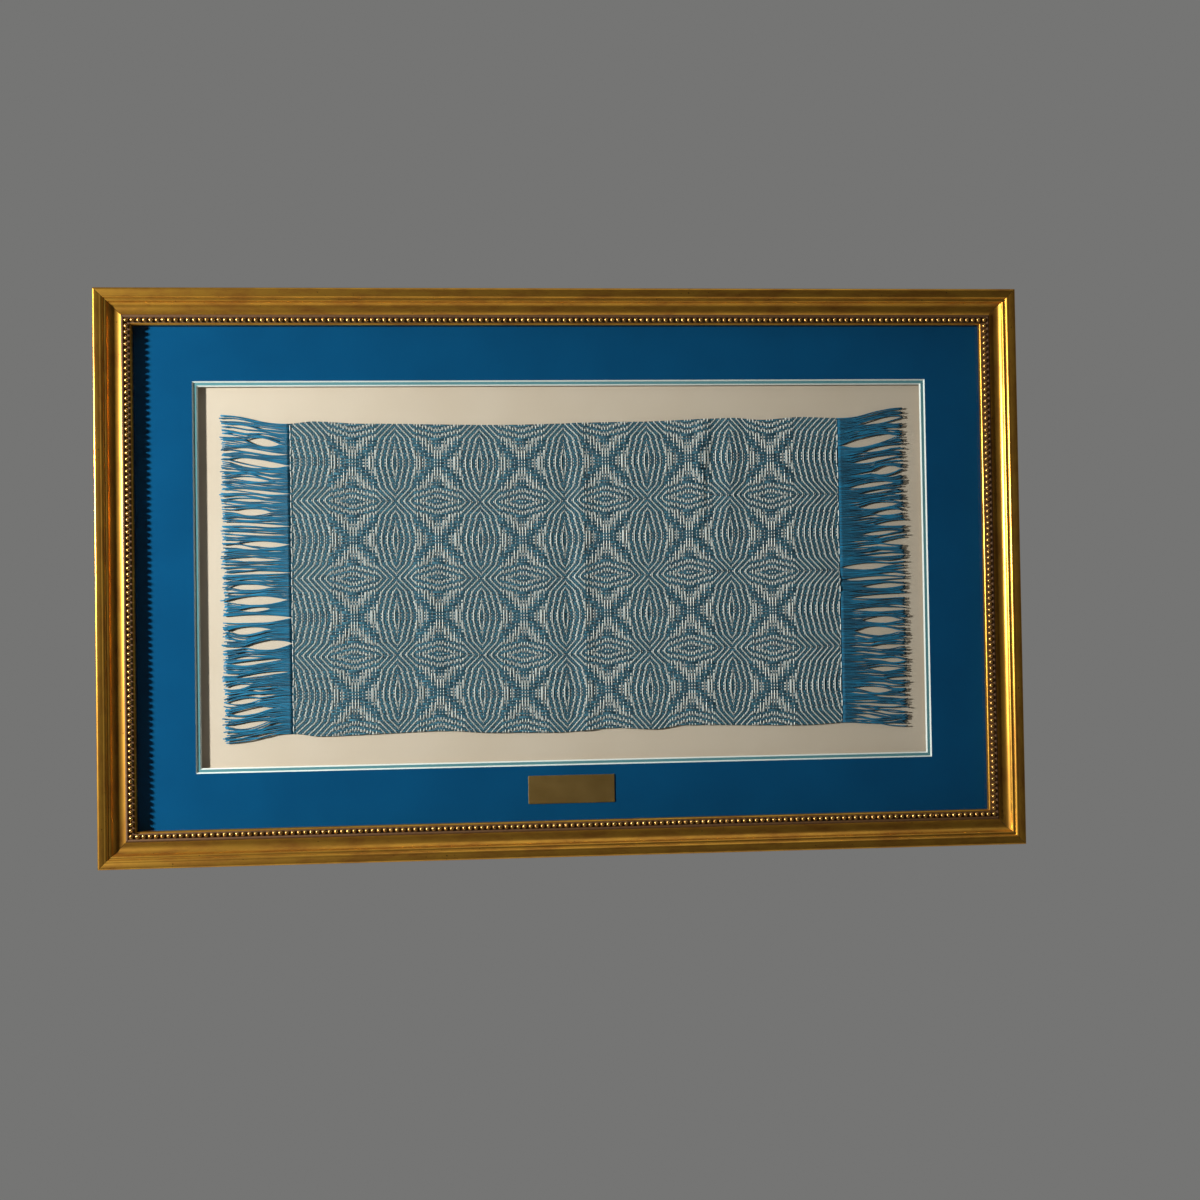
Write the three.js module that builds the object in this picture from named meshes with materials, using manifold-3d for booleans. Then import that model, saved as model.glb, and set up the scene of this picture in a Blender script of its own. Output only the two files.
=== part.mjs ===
// A fringed, hand-woven cloth in a gilded frame: glass, a double mat, a brass plate and a cream backing.
// Millimetres. X runs along the frame, Y goes back to the wall and Z is up.
// The origin is the middle of the top rail's back face, which lies on the wall.

import * as THREE from 'three';
import { mergeVertices } from 'three/addons/utils/BufferGeometryUtils.js';
import Module from 'manifold-3d';

const wasm = await Module();
wasm.setup();

// Frame: outside size, width of the moulding, and the rabbet that holds the boards and the glass
const FRAME_WIDTH = 820;
const FRAME_HEIGHT = 504;
const RAIL_WIDTH = 31;
const RABBET_WIDTH = 6;
const PIECE_GAP = 0.3;
const SAME_POINT = 1e-4;

// Boards from the wall forwards: the back board stands in from the wall, the others follow it
const BACK_BOARD_SETBACK = 2.3;
const BACK_BOARD_THICKNESS = 3;
const BACKING_THICKNESS = 1.5;
const SPACER_THICKNESS = 3.3;
const MAT_THICKNESS = 1.1;
const PLATE_THICKNESS = 0.5;
const GLASS_THICKNESS = 2;

// Windows: half sizes at the front of each mat, and how far the spacers stand back from the opening
const TOP_WINDOW_HALF = { x: 329.4, z: 172.7 };
const REVEAL = 3.45;
const SPACER_SETBACK = 8;

// Brass plate on the lower mat
const PLATE_WIDTH = 77;
const PLATE_HEIGHT = 25;
const PLATE_Z = -194;

// Pearl beads in the moulding's channel, and the depth of their middles off the wall
const BEAD_RADIUS = 2;
const BEAD_DEPTH = 23.2;
const CHANNEL_FROM = 1.5;
const CHANNEL_TO = 6.1;
const CHANNEL_FLOOR = 21.3;

// The moulding's face, from the outer side in to the sight edge: each part ends at out and depth,
// and a part with a bend curves by way of it. out is from the sight edge, depth is off the wall.
const MOULDING = [
  { part: 'outer side', out: RAIL_WIDTH, depth: 27.6 },
  { part: 'rounded rim', out: 28.9, depth: 29.8, bendOut: RAIL_WIDTH, bendDepth: 29.8 },
  { part: 'sloping band', out: 25.4, depth: 28.3 },
  { part: 'outer ridge', out: 22.4, depth: 26.6, bendOut: 23.4, bendDepth: 28.5 },
  { part: 'groove', out: 21.8, depth: 26.3 },
  { part: 'inner ridge', out: 19.4, depth: 24.9, bendOut: 20.2, bendDepth: 26.6 },
  { part: 'cove', out: 8.5, depth: 22.3, bendOut: 15.8, bendDepth: 20 },
  { part: 'step', out: 8.5, depth: 23.1 },
  { part: 'fillet', out: CHANNEL_TO, depth: 23.1, bendOut: 7.3, bendDepth: 24.3 },
  { part: 'outer channel wall', out: CHANNEL_TO, depth: CHANNEL_FLOOR },
  { part: 'channel floor', out: CHANNEL_FROM, depth: CHANNEL_FLOOR },
  { part: 'rounded lip', out: 0, depth: 19.6, bendOut: 0.2, bendDepth: 21.1 },
];
const CURVE_SEGMENTS = 6;

// Woven cloth: its side edges, thickness and the lift of its loose panels off the backing
const CLOTH_LEFT = -246;
const CLOTH_RIGHT = 249;
const CLOTH_THICKNESS = 1.4;
const CLOTH_COLUMNS = 100;
const CLOTH_ROWS = 14;
const PANEL_LIFT = 1.1;
const EDGE_LIFT = 0.4;
const EDGE_FADE = 26;

// Top and bottom edges of the cloth, which are not quite straight
const TOP_EDGE = [
  { x: CLOTH_LEFT, z: 135.5 },
  { x: -225, z: 137.4 },
  { x: -180, z: 135.2 },
  { x: -60, z: 133.5 },
  { x: 60, z: 135.7 },
  { x: 152, z: 138.6 },
  { x: 178, z: 136.9 },
  { x: 215, z: 139.2 },
  { x: CLOTH_RIGHT, z: 138.2 },
];
const BOTTOM_EDGE = [
  { x: CLOTH_LEFT, z: -139.8 },
  { x: -222, z: -142.8 },
  { x: -112, z: -140.2 },
  { x: -70, z: -142.7 },
  { x: -10, z: -143.8 },
  { x: 40, z: -140.8 },
  { x: 77, z: -142.6 },
  { x: 103, z: -139.6 },
  { x: 215, z: -141.8 },
  { x: CLOTH_RIGHT, z: -140.4 },
];

// Storage creases: a trough and a loose ridge beside it at the half and the quarters, and puckers between.
// lean is the crease's angle from upright; across and along are half widths of the soft section.
const FOLDS = [
  { x: 1, z: 0, lean: 1, across: 6, along: 210, lift: -1.1 },
  { x: 13, z: 0, lean: 1, across: 8, along: 190, lift: 2.2 },
  { x: -138, z: -28, lean: 6, across: 7, along: 64, lift: -1.0 },
  { x: -124, z: -32, lean: 6, across: 10, along: 60, lift: 1.9 },
  { x: 122, z: 96, lean: -4, across: 6, along: 62, lift: 1.4 },
  { x: 132, z: 92, lean: -4, across: 7, along: 62, lift: -0.9 },
  { x: 148, z: 92, lean: -4, across: 9, along: 66, lift: 1.6 },
  { x: 236, z: 12, lean: 80, across: 12, along: 34, lift: -0.8 },
  { x: 232, z: -8, lean: 82, across: 13, along: 36, lift: 1.3 },
  { x: -70, z: -120, lean: 14, across: 16, along: 34, lift: 0.9 },
  { x: 78, z: -124, lean: -12, across: 15, along: 30, lift: 0.9 },
  { x: -225, z: 122, lean: 60, across: 14, along: 30, lift: 0.8 },
];

// Fringe: locks of three strands on a narrow strip along each side edge of the cloth
const FRINGE_LOCKS = 36;
const STRANDS_PER_LOCK = 3;
const STRAND_RADIUS = 0.9;
const STRAND_SAG = 0.8;
const STRAND_STEPS = 3;
const STRIP_WIDTH = 2;
const STRIP_THICKNESS = 2;
const LOCK_TIP_PITCH = 2.05;
const LOCK_WANDER = 0.8;
const REACH_WANDER = 1.5;
const TIP_LIFT_LEAST = 0.6;
const TIP_LIFT_SWING = 0.4;

// Uneven beats, in radians from one lock or strand to the next, that keep the fringe from looking combed
const LOCK_BEAT = 2.3;
const REACH_LOCK_BEAT = 5.1;
const REACH_STRAND_BEAT = 2.2;
const LIFT_LOCK_BEAT = 1.7;
const FRINGES = [
  { name: 'fringe_left', edge: CLOTH_LEFT, out: -1, length: 59, tipTop: 143, tipBottom: -147, tipLift: 1.2 },
  { name: 'fringe_right', edge: CLOTH_RIGHT, out: 1, length: 59.5, tipTop: 147, tipBottom: -145, tipLift: 1.2 },
];

// Sizes that follow from the ones above; "depth" is the distance forwards from the wall
const SIGHT_HALF = { x: FRAME_WIDTH / 2 - RAIL_WIDTH, z: FRAME_HEIGHT / 2 - RAIL_WIDTH };
const BOARD_HALF = {
  x: SIGHT_HALF.x + RABBET_WIDTH - PIECE_GAP,
  z: SIGHT_HALF.z + RABBET_WIDTH - PIECE_GAP,
};
const UNDER_WINDOW_HALF = { x: TOP_WINDOW_HALF.x - REVEAL, z: TOP_WINDOW_HALF.z - REVEAL };
const BACKING_DEPTH = BACK_BOARD_SETBACK + BACK_BOARD_THICKNESS + PIECE_GAP;
const CLOTH_DEPTH = BACKING_DEPTH + BACKING_THICKNESS + PIECE_GAP;
const UNDER_MAT_DEPTH = CLOTH_DEPTH + SPACER_THICKNESS + PIECE_GAP;
const TOP_MAT_DEPTH = UNDER_MAT_DEPTH + MAT_THICKNESS + PIECE_GAP;
const PLATE_DEPTH = TOP_MAT_DEPTH + MAT_THICKNESS + PIECE_GAP;
const GLASS_DEPTH = PLATE_DEPTH + PLATE_THICKNESS + PIECE_GAP;
const LIP_DEPTH = GLASS_DEPTH + GLASS_THICKNESS + PIECE_GAP;
const MITRE_GAP = PIECE_GAP * Math.SQRT1_2;
const BACK_FACE_MIDDLE = FRAME_HEIGHT / 2 - (RAIL_WIDTH - RABBET_WIDTH) / 2;

function material(color, roughness, metalness) {
  return new THREE.MeshStandardMaterial({ color, roughness, metalness });
}

const GILDING = material(0xa9803c, 0.4, 0.85);
const BEAD_GILDING = material(0xb08a42, 0.35, 0.85);
const FOAM_BOARD = material(0xe9e4d8, 0.9, 0);
const HARDBOARD = material(0x6e5238, 0.9, 0);
const CREAM_BOARD = material(0xd8c9b2, 0.9, 0);
const TEAL_BOARD = material(0x5c9aa0, 0.9, 0);
const BLUE_BOARD = material(0x14588a, 0.9, 0);
const BRASS = material(0x9a7838, 0.35, 1);
const GLASS = material(0xdfeaea, 0.05, 0);
const WOVEN_COTTON = material(0x4f8296, 0.9, 0);
const BLUE_YARN = material(0x17628c, 0.85, 0);

function named(name, geometry, look) {
  const mesh = new THREE.Mesh(geometry, look);
  mesh.name = name;
  return mesh;
}

// A closed geometry as a solid that can be joined to others.
function solidOf(geometry) {
  const bare = geometry.clone();
  bare.deleteAttribute('normal');
  bare.deleteAttribute('uv');
  const merged = mergeVertices(bare, SAME_POINT);
  return new wasm.Manifold(new wasm.Mesh({
    numProp: 3,
    vertProperties: new Float32Array(merged.attributes.position.array),
    triVerts: new Uint32Array(merged.index.array),
  }));
}

function geometryOf(solid) {
  const mesh = solid.getMesh();
  const geometry = new THREE.BufferGeometry();
  geometry.setAttribute('position', new THREE.BufferAttribute(mesh.vertProperties, mesh.numProp));
  geometry.setIndex(new THREE.BufferAttribute(mesh.triVerts, 1));
  geometry.computeVertexNormals();
  return geometry;
}

// A flat board that faces the room, from its depth off the wall to depth + thickness.
function board(halfX, halfZ, depth, thickness) {
  const geometry = new THREE.BoxGeometry(2 * halfX, thickness, 2 * halfZ);
  geometry.translate(0, -depth - thickness / 2, 0);
  return geometry;
}

// The moulding's section: x is out from the sight edge, y is depth off the wall.
function railSection() {
  const section = new THREE.Shape();
  section.moveTo(RABBET_WIDTH, 0);
  section.lineTo(RAIL_WIDTH, 0);
  for (const row of MOULDING) {
    if (row.bendOut === undefined) section.lineTo(row.out, row.depth);
    else section.quadraticCurveTo(row.bendOut, row.bendDepth, row.out, row.depth);
  }
  section.lineTo(0, LIP_DEPTH);
  section.lineTo(RABBET_WIDTH, LIP_DEPTH);
  section.closePath();
  return section;
}

// A rod with a bead's width and height, which stands for the row of beads.
function beadSection() {
  const middle = (CHANNEL_FROM + CHANNEL_TO) / 2;
  const foot = CHANNEL_FLOOR + PIECE_GAP;
  const section = new THREE.Shape();
  section.moveTo(middle - BEAD_RADIUS, foot);
  section.lineTo(middle + BEAD_RADIUS, foot);
  section.lineTo(middle + BEAD_RADIUS, BEAD_DEPTH);
  section.absarc(middle, BEAD_DEPTH, BEAD_RADIUS, 0, Math.PI, false);
  section.closePath();
  return section;
}

// A section swept along one side of the frame; each line of it is as long as its mitred ends allow.
function mitredSweep(section, halfSight) {
  const settings = { depth: 2, bevelEnabled: false, curveSegments: CURVE_SEGMENTS };
  const sweep = new THREE.ExtrudeGeometry(section, settings);
  sweep.translate(0, 0, -1);
  const place = sweep.attributes.position;
  for (let i = 0; i < place.count; i++) {
    place.setZ(i, place.getZ(i) * (halfSight + place.getX(i) - MITRE_GAP));
  }
  const outUpDepthForwards = new THREE.Matrix4().makeBasis(
    new THREE.Vector3(0, 0, 1), new THREE.Vector3(0, -1, 0), new THREE.Vector3(1, 0, 0));
  sweep.applyMatrix4(outUpDepthForwards);
  return sweep;
}

// One side of the frame, built as the top and turned about the frame's middle.
function frameSide(side, turn, along, away) {
  const rail = named(`rail_${side}`, mitredSweep(railSection(), along), GILDING);
  const beads = named(`beads_${side}`, mitredSweep(beadSection(), along), BEAD_GILDING);
  const group = new THREE.Group();
  for (const mesh of [rail, beads]) {
    mesh.position.z = away;
    group.add(mesh);
  }
  group.rotation.y = turn;
  return group;
}

// A mat: a board with a window whose bevelled sides slope in towards the back.
function mat(window, depth) {
  const outline = new THREE.Shape();
  outline.moveTo(-BOARD_HALF.x, -BOARD_HALF.z);
  outline.lineTo(BOARD_HALF.x, -BOARD_HALF.z);
  outline.lineTo(BOARD_HALF.x, BOARD_HALF.z);
  outline.lineTo(-BOARD_HALF.x, BOARD_HALF.z);
  outline.closePath();
  const hole = new THREE.Path();
  hole.moveTo(-window.x, -window.z);
  hole.lineTo(-window.x, window.z);
  hole.lineTo(window.x, window.z);
  hole.lineTo(window.x, -window.z);
  hole.closePath();
  outline.holes.push(hole);
  const geometry = new THREE.ExtrudeGeometry(outline, { depth: MAT_THICKNESS, bevelEnabled: false });
  const place = geometry.attributes.position;
  for (let i = 0; i < place.count; i++) {
    const onWindow = Math.abs(place.getX(i)) < BOARD_HALF.x - RABBET_WIDTH;
    const atBack = place.getZ(i) < MAT_THICKNESS / 2;
    if (onWindow && atBack) {
      place.setX(i, place.getX(i) - Math.sign(place.getX(i)) * MAT_THICKNESS);
      place.setY(i, place.getY(i) - Math.sign(place.getY(i)) * MAT_THICKNESS);
    }
  }
  geometry.rotateX(Math.PI / 2);
  geometry.translate(0, -depth, 0);
  return geometry;
}

// Four foam strips behind the mats hold them off the backing.
function spacers() {
  const innerX = UNDER_WINDOW_HALF.x + SPACER_SETBACK;
  const innerZ = UNDER_WINDOW_HALF.z + SPACER_SETBACK;
  const bandX = (BOARD_HALF.x - innerX) / 2;
  const bandZ = (BOARD_HALF.z - innerZ) / 2;
  const rows = [
    { side: 'top', x: 0, z: innerZ + bandZ, halfX: BOARD_HALF.x, halfZ: bandZ },
    { side: 'bottom', x: 0, z: -innerZ - bandZ, halfX: BOARD_HALF.x, halfZ: bandZ },
    { side: 'left', x: -innerX - bandX, z: 0, halfX: bandX, halfZ: innerZ - PIECE_GAP },
    { side: 'right', x: innerX + bandX, z: 0, halfX: bandX, halfZ: innerZ - PIECE_GAP },
  ];
  return rows.map((row) => {
    const strip = board(row.halfX, row.halfZ, CLOTH_DEPTH, SPACER_THICKNESS);
    const mesh = named(`spacer_${row.side}`, strip, FOAM_BOARD);
    mesh.position.set(row.x, 0, row.z);
    return mesh;
  });
}

// Height of an edge at x, eased from one row of its table to the next.
function edgeAt(edge, x) {
  const next = Math.max(1, edge.findIndex((row) => row.x >= x - SAME_POINT));
  const from = edge[next - 1];
  const to = edge[next];
  const ease = THREE.MathUtils.smoothstep(x, from.x, to.x);
  return THREE.MathUtils.lerp(from.z, to.z, ease);
}

// How far the cloth's back stands off the backing at a point.
function clothLift(x, z) {
  const toEdge = Math.min(
    x - CLOTH_LEFT, CLOTH_RIGHT - x, edgeAt(TOP_EDGE, x) - z, z - edgeAt(BOTTOM_EDGE, x));
  let lift = THREE.MathUtils.lerp(EDGE_LIFT, PANEL_LIFT, THREE.MathUtils.smoothstep(toEdge, 0, EDGE_FADE));
  for (const fold of FOLDS) {
    const lean = THREE.MathUtils.degToRad(fold.lean);
    const across = (x - fold.x) * Math.cos(lean) + (z - fold.z) * Math.sin(lean);
    const along = (z - fold.z) * Math.cos(lean) - (x - fold.x) * Math.sin(lean);
    lift += fold.lift * Math.exp(-((across / fold.across) ** 2) - ((along / fold.along) ** 2));
  }
  return Math.max(0, lift);
}

// The sheet: a grid between the four edges, front and back, closed round its rim.
function cloth() {
  const columns = CLOTH_COLUMNS + 1;
  const rows = CLOTH_ROWS + 1;
  const places = [];
  for (const front of [0, CLOTH_THICKNESS]) {
    for (let row = 0; row < rows; row++) {
      for (let column = 0; column < columns; column++) {
        const x = THREE.MathUtils.lerp(CLOTH_LEFT, CLOTH_RIGHT, column / CLOTH_COLUMNS);
        const z = THREE.MathUtils.lerp(edgeAt(BOTTOM_EDGE, x), edgeAt(TOP_EDGE, x), row / CLOTH_ROWS);
        places.push(x, -CLOTH_DEPTH - clothLift(x, z) - front, z);
      }
    }
  }
  const triangles = [];
  const quad = (a, b, c, d) => triangles.push(a, b, c, a, c, d);
  const frontFirst = rows * columns;
  for (let row = 0; row < CLOTH_ROWS; row++) {
    for (let column = 0; column < CLOTH_COLUMNS; column++) {
      const low = row * columns + column;
      const high = low + columns;
      quad(low, high, high + 1, low + 1);
      quad(frontFirst + low, frontFirst + low + 1, frontFirst + high + 1, frontFirst + high);
    }
  }
  const rim = [];
  for (let column = 0; column < CLOTH_COLUMNS; column++) rim.push(column);
  for (let row = 0; row < CLOTH_ROWS; row++) rim.push(row * columns + CLOTH_COLUMNS);
  for (let column = CLOTH_COLUMNS; column > 0; column--) rim.push(CLOTH_ROWS * columns + column);
  for (let row = CLOTH_ROWS; row > 0; row--) rim.push(row * columns);
  rim.forEach((here, i) => {
    const next = rim[(i + 1) % rim.length];
    quad(here, next, frontFirst + next, frontFirst + here);
  });
  const geometry = new THREE.BufferGeometry();
  geometry.setAttribute('position', new THREE.Float32BufferAttribute(places, 3));
  geometry.setIndex(triangles);
  geometry.computeVertexNormals();
  return geometry;
}

// One three-sided strand from its root to its tip.
function strand(root, tip) {
  const middle = root.clone().lerp(tip, 0.5).add(new THREE.Vector3(0, -STRAND_SAG, 0));
  const route = new THREE.QuadraticBezierCurve3(root, middle, tip);
  const section = new THREE.Shape();
  for (let side = 0; side < 3; side++) {
    const angle = Math.PI / 2 + (side * 2 * Math.PI) / 3;
    const point = [STRAND_RADIUS * Math.cos(angle), STRAND_RADIUS * Math.sin(angle)];
    if (side === 0) section.moveTo(...point);
    else section.lineTo(...point);
  }
  section.closePath();
  return new THREE.ExtrudeGeometry(section, { steps: STRAND_STEPS, extrudePath: route, bevelEnabled: false });
}

// A fringe: locks of strands that draw together at their tips, fused to a strip beside the cloth's edge.
function fringe(row) {
  const top = edgeAt(TOP_EDGE, row.edge);
  const bottom = edgeAt(BOTTOM_EDGE, row.edge);
  const stripX = row.edge + row.out * (PIECE_GAP + STRIP_WIDTH / 2);
  const strip = new THREE.BoxGeometry(STRIP_WIDTH, STRIP_THICKNESS, top - bottom);
  strip.translate(stripX, -CLOTH_DEPTH - STRIP_THICKNESS / 2, (top + bottom) / 2);
  let solid = solidOf(strip);
  for (let lock = 0; lock < FRINGE_LOCKS; lock++) {
    const wander = LOCK_WANDER * Math.sin(LOCK_BEAT * lock + row.length);
    const tipMiddle = THREE.MathUtils.lerp(row.tipBottom, row.tipTop, (lock + 0.5) / FRINGE_LOCKS) + wander;
    for (let i = 0; i < STRANDS_PER_LOCK; i++) {
      const share = (lock + (i + 0.5) / STRANDS_PER_LOCK) / FRINGE_LOCKS;
      const reach = row.length + REACH_WANDER * Math.sin(REACH_LOCK_BEAT * lock + REACH_STRAND_BEAT * i);
      const swing = TIP_LIFT_SWING * Math.sin(LIFT_LOCK_BEAT * lock + i);
      const tipLift = STRAND_RADIUS + row.tipLift * (TIP_LIFT_LEAST + swing);
      const root = new THREE.Vector3(
        stripX, -CLOTH_DEPTH - STRIP_THICKNESS / 2, THREE.MathUtils.lerp(bottom, top, share));
      const tip = new THREE.Vector3(
        row.edge + row.out * reach,
        -CLOTH_DEPTH - tipLift,
        tipMiddle + (i - (STRANDS_PER_LOCK - 1) / 2) * LOCK_TIP_PITCH);
      solid = solid.add(solidOf(strand(root, tip)));
    }
  }
  return geometryOf(solid);
}

const frame = new THREE.Group();
frame.add(
  frameSide('top', 0, SIGHT_HALF.x, SIGHT_HALF.z),
  frameSide('right', Math.PI / 2, SIGHT_HALF.z, SIGHT_HALF.x),
  frameSide('bottom', Math.PI, SIGHT_HALF.x, SIGHT_HALF.z),
  frameSide('left', -Math.PI / 2, SIGHT_HALF.z, SIGHT_HALF.x),
);

const plate = named('plate', board(PLATE_WIDTH / 2, PLATE_HEIGHT / 2, PLATE_DEPTH, PLATE_THICKNESS), BRASS);
plate.position.z = PLATE_Z;

const contents = new THREE.Group();
contents.add(
  named('back_board', board(BOARD_HALF.x, BOARD_HALF.z, BACK_BOARD_SETBACK, BACK_BOARD_THICKNESS), HARDBOARD),
  named('backing', board(BOARD_HALF.x, BOARD_HALF.z, BACKING_DEPTH, BACKING_THICKNESS), CREAM_BOARD),
  named('cloth', cloth(), WOVEN_COTTON),
  ...FRINGES.map((row) => named(row.name, fringe(row), BLUE_YARN)),
  ...spacers(),
  named('mat_under', mat(UNDER_WINDOW_HALF, UNDER_MAT_DEPTH), TEAL_BOARD),
  named('mat_top', mat(TOP_WINDOW_HALF, TOP_MAT_DEPTH), BLUE_BOARD),
  plate,
  named('glass', board(BOARD_HALF.x, BOARD_HALF.z, GLASS_DEPTH, GLASS_THICKNESS), GLASS),
);

const framedCloth = new THREE.Group();
framedCloth.add(frame, contents);
framedCloth.position.z = -BACK_FACE_MIDDLE;

export default framedCloth;
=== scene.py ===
import math

import bpy
import numpy as np
from mathutils import Matrix, Vector


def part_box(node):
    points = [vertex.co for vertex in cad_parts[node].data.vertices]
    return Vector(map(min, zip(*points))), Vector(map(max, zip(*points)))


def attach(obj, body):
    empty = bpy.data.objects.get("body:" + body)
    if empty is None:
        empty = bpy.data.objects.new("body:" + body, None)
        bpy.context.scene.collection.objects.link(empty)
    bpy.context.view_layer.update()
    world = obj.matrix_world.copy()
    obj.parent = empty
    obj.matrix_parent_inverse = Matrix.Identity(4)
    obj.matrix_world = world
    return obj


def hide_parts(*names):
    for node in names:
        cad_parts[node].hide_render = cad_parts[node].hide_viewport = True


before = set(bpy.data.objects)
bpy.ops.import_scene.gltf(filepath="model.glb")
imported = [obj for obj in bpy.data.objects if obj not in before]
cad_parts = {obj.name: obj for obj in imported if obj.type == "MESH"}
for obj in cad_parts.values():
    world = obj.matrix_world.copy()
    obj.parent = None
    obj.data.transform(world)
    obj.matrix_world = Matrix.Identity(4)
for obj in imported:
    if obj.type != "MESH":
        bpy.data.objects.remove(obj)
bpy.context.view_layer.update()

# Back board: a sheet of brown hardboard dropped into the frame's rabbet to close the back.
# It is pressed wood fibre, so it is dull and even, with darker flecks and a fine screen pattern.
MM = 0.001
HARDBOARD_BROWN = "6f5136"
HARDBOARD_FLECK = "523a25"
FLECK_SIZE = 4 * MM
SCREEN_PITCH = 2.5 * MM


def linear(hex_colour):
    """An sRGB hex colour as linear red, green, blue and alpha."""
    parts = [int(hex_colour[i:i + 2], 16) / 255 for i in (0, 2, 4)]
    return [p / 12.92 if p <= 0.04045 else ((p + 0.055) / 1.055) ** 2.4 for p in parts] + [1.0]


def add(tree, kind, inputs=(), **settings):
    """A new node: settings are its properties, inputs give a socket its value or the socket that feeds it."""
    node = tree.nodes.new(kind)
    for name, value in settings.items():
        setattr(node, name, value)
    for name, value in dict(inputs).items():
        if isinstance(value, bpy.types.NodeSocket):
            tree.links.new(value, node.inputs[name])
        else:
            node.inputs[name].default_value = value
    return node


def start(name):
    """A new material with an empty node tree."""
    look = bpy.data.materials.new(name)
    look.use_nodes = True
    look.node_tree.nodes.clear()
    return look, look.node_tree


def hardboard():
    # Pressed wood fibre: flat brown with darker flecks, and the dents of the wire screen it was pressed on.
    look, tree = start("hardboard")
    place = add(tree, "ShaderNodeTexCoord").outputs["Object"]
    fleck = add(tree, "ShaderNodeTexNoise", {"Vector": place, "Scale": 1 / FLECK_SIZE, "Detail": 5.0})
    tone = add(tree, "ShaderNodeMix", {
        0: fleck.outputs["Fac"], 6: linear(HARDBOARD_BROWN), 7: linear(HARDBOARD_FLECK)}, data_type="RGBA")
    screen = add(tree, "ShaderNodeTexVoronoi", {
        "Vector": place, "Scale": 1 / SCREEN_PITCH, "Randomness": 0.1})
    dent = add(tree, "ShaderNodeBump", {
        "Height": screen.outputs["Distance"], "Strength": 0.35, "Distance": 0.4 * MM})
    shader = add(tree, "ShaderNodeBsdfPrincipled", {
        "Base Color": tone.outputs[2], "Roughness": 0.8, "Normal": dent.outputs["Normal"]})
    add(tree, "ShaderNodeOutputMaterial", {"Surface": shader.outputs["BSDF"]})
    return look


def dress(node, look):
    """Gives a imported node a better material."""
    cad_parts[node].material_slots[0].material = look


dress("back_board", hardboard())

# Backing: a cream mount board behind the cloth, smooth-faced rag paper that fades a little unevenly.
# It fills the rabbet and the cloth lies on its face.
CREAM = "d8c6b4"
CREAM_SHADE = "cebaa5"
BOARD_MOTTLE = 60 * MM
PAPER_TOOTH = 0.7 * MM


def board_paper(name, colour, shade):
    # Mat board's paper face: matt, a fine tooth that catches side light, and a slow unevenness of tone.
    look, tree = start(name)
    place = add(tree, "ShaderNodeTexCoord").outputs["Object"]
    mottle = add(tree, "ShaderNodeTexNoise", {"Vector": place, "Scale": 1 / BOARD_MOTTLE, "Detail": 3.0})
    tone = add(tree, "ShaderNodeMix", {
        0: mottle.outputs["Fac"], 6: linear(colour), 7: linear(shade)}, data_type="RGBA")
    tooth = add(tree, "ShaderNodeTexNoise", {"Vector": place, "Scale": 1 / PAPER_TOOTH, "Detail": 4.0})
    grain = add(tree, "ShaderNodeBump", {
        "Height": tooth.outputs["Fac"], "Strength": 0.25, "Distance": 0.1 * MM})
    shader = add(tree, "ShaderNodeBsdfPrincipled", {
        "Base Color": tone.outputs[2], "Roughness": 0.9, "Specular IOR Level": 0.03,
        "Normal": grain.outputs["Normal"]})
    add(tree, "ShaderNodeOutputMaterial", {"Surface": shader.outputs["BSDF"]})
    return look


dress("backing", board_paper("cream mount board", CREAM, CREAM_SHADE))

# Cloth: a hand-woven cotton runner laid on the backing, creased where it was kept folded in quarters.
# The sheet here is the ground between the yarns, coloured near black as painted shade for the gaps between
# them; the yarn floats that show lie on its face.
CLOTH_LEFT = -246 * MM
CLOTH_RIGHT = 249 * MM
CLOTH_CLEARANCE = 0.3 * MM
GROUND_THICKNESS = 0.6 * MM
PANEL_LIFT = 1.1 * MM
EDGE_LIFT = 0.4 * MM
EDGE_FADE = 26 * MM
GROUND_COLUMNS = 200
GROUND_ROWS = 56
# Painted shade: the ground's two near-black blues stand for the shadow in the gaps between the yarns.
GROUND_SHADOW_DARK = "03090d"
GROUND_SHADOW_BLUE = "081c26"
GROUND_TUFT = (2 * MM, 2 * MM, 2 * MM)

# Edges of the cloth in millimetres from the frame's middle: along x, and z there.
TOP_EDGE = np.array([
    (-246, 135.5), (-225, 137.4), (-180, 135.2), (-60, 133.5), (60, 135.7),
    (152, 138.6), (178, 136.9), (215, 139.2), (249, 138.2)]) * MM
BOTTOM_EDGE = np.array([
    (-246, -139.8), (-222, -142.8), (-112, -140.2), (-70, -142.7), (-10, -143.8),
    (40, -140.8), (77, -142.6), (103, -139.6), (215, -141.8), (249, -140.4)]) * MM

# Creases: x, z, lean from upright, half width across, half length along and lift; the lean is in degrees,
# the rest in millimetres.
FOLDS = [
    (1, 0, 1, 6, 210, -1.1),
    (13, 0, 1, 8, 190, 2.2),
    (-138, -28, 6, 7, 64, -1.0),
    (-124, -32, 6, 10, 60, 1.9),
    (122, 96, -4, 6, 62, 1.4),
    (132, 92, -4, 7, 62, -0.9),
    (148, 92, -4, 9, 66, 1.6),
    (236, 12, 80, 12, 34, -0.8),
    (232, -8, 82, 13, 36, 1.3),
    (-70, -120, 14, 16, 34, 0.9),
    (78, -124, -12, 15, 30, 0.9),
    (-225, 122, 60, 14, 30, 0.8),
]

glass_low, glass_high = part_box("glass")
middle_z = (glass_low.z + glass_high.z) / 2
cloth_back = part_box("backing")[0].y - CLOTH_CLEARANCE


def smooth(share):
    """A share from 0 to 1, eased at both ends."""
    share = np.clip(share, 0, 1)
    return share * share * (3 - 2 * share)


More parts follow.
